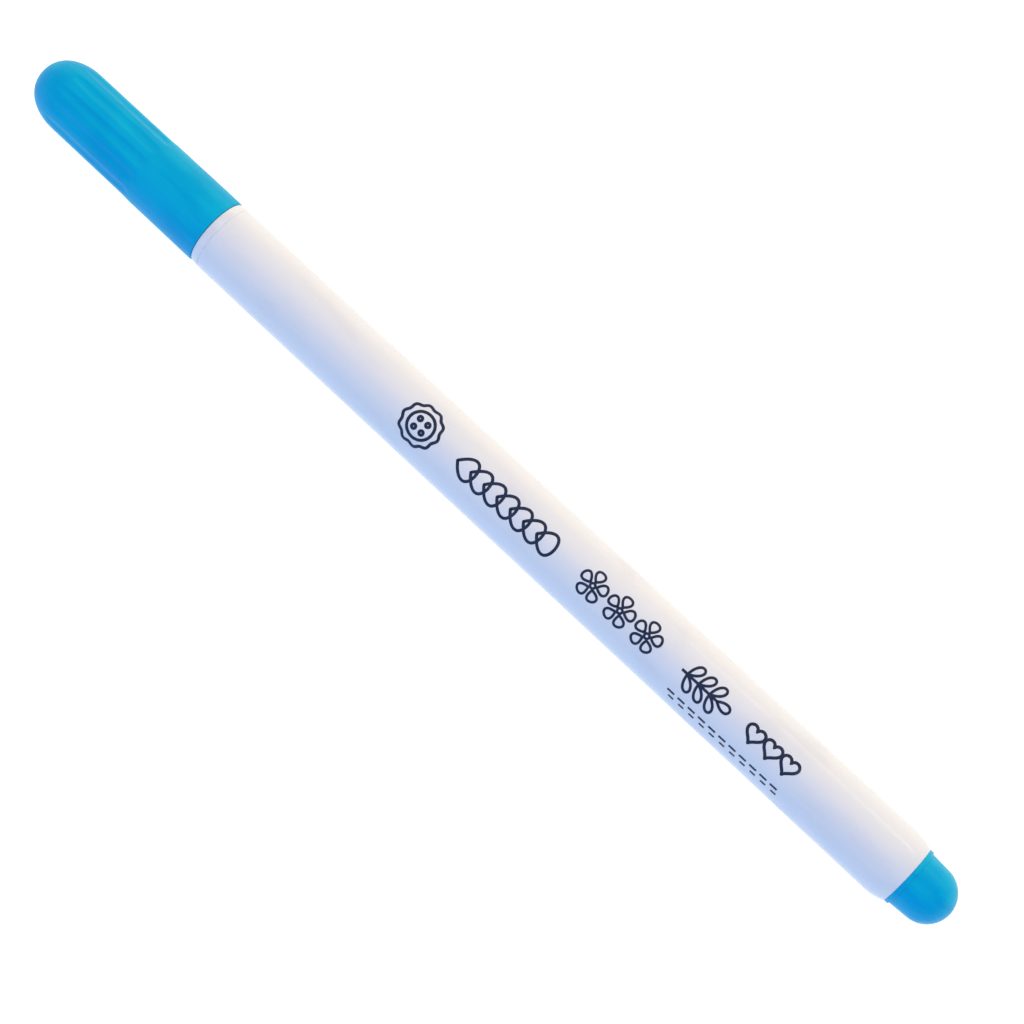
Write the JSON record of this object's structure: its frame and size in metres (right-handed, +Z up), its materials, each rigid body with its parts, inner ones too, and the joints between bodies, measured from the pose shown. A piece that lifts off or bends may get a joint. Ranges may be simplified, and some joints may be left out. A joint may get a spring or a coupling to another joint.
{
  "type": "fabric marking pen",
  "caption": "Capped fibre-tip pen for marking fabric: a round glossy barrel with a pull-off fluted cap over the nib and a domed rear plug.",
  "frame": {"origin": "on the surface that the pen lies on, under the middle of its length", "axes": "+X along the pen from the cap's crown to the rear plug, +Z up"},
  "size_m": [0.138, 0.0086, 0.0086],
  "materials": {
    "cap_plastic": "azure blue moulded plastic, satin gloss",
    "seal_plastic": "milky soft plastic",
    "barrel_plastic": "glossy white plastic",
    "section_plastic": "white moulded plastic",
    "nib_fibre": "bonded fibre wet with blue ink",
    "reservoir_fibre": "fibre core soaked with blue ink",
    "wrap_film": "thin clear film",
    "breather_plastic": "natural plastic tube",
    "plug_plastic": "azure blue moulded plastic, satin gloss",
    "print_ink": "dark navy printed decoration"
  },
  "bodies": {
    "pen": {"barrel": "barrel_plastic", "front_section": "section_plastic", "nib": "nib_fibre", "ink_reservoir": "reservoir_fibre", "reservoir_wrap": "wrap_film", "breather_tube": "breather_plastic", "end_plug": "plug_plastic"},
    "cap": {"cap_shell": "cap_plastic", "cap_inner_seal": "seal_plastic"}
  },
  "joints": [
    {"name": "cap_slide", "type": "slide", "parent": "pen", "child": "cap", "axis": [-1, 0, 0], "range_m": [0, 0.04]}
  ]
}
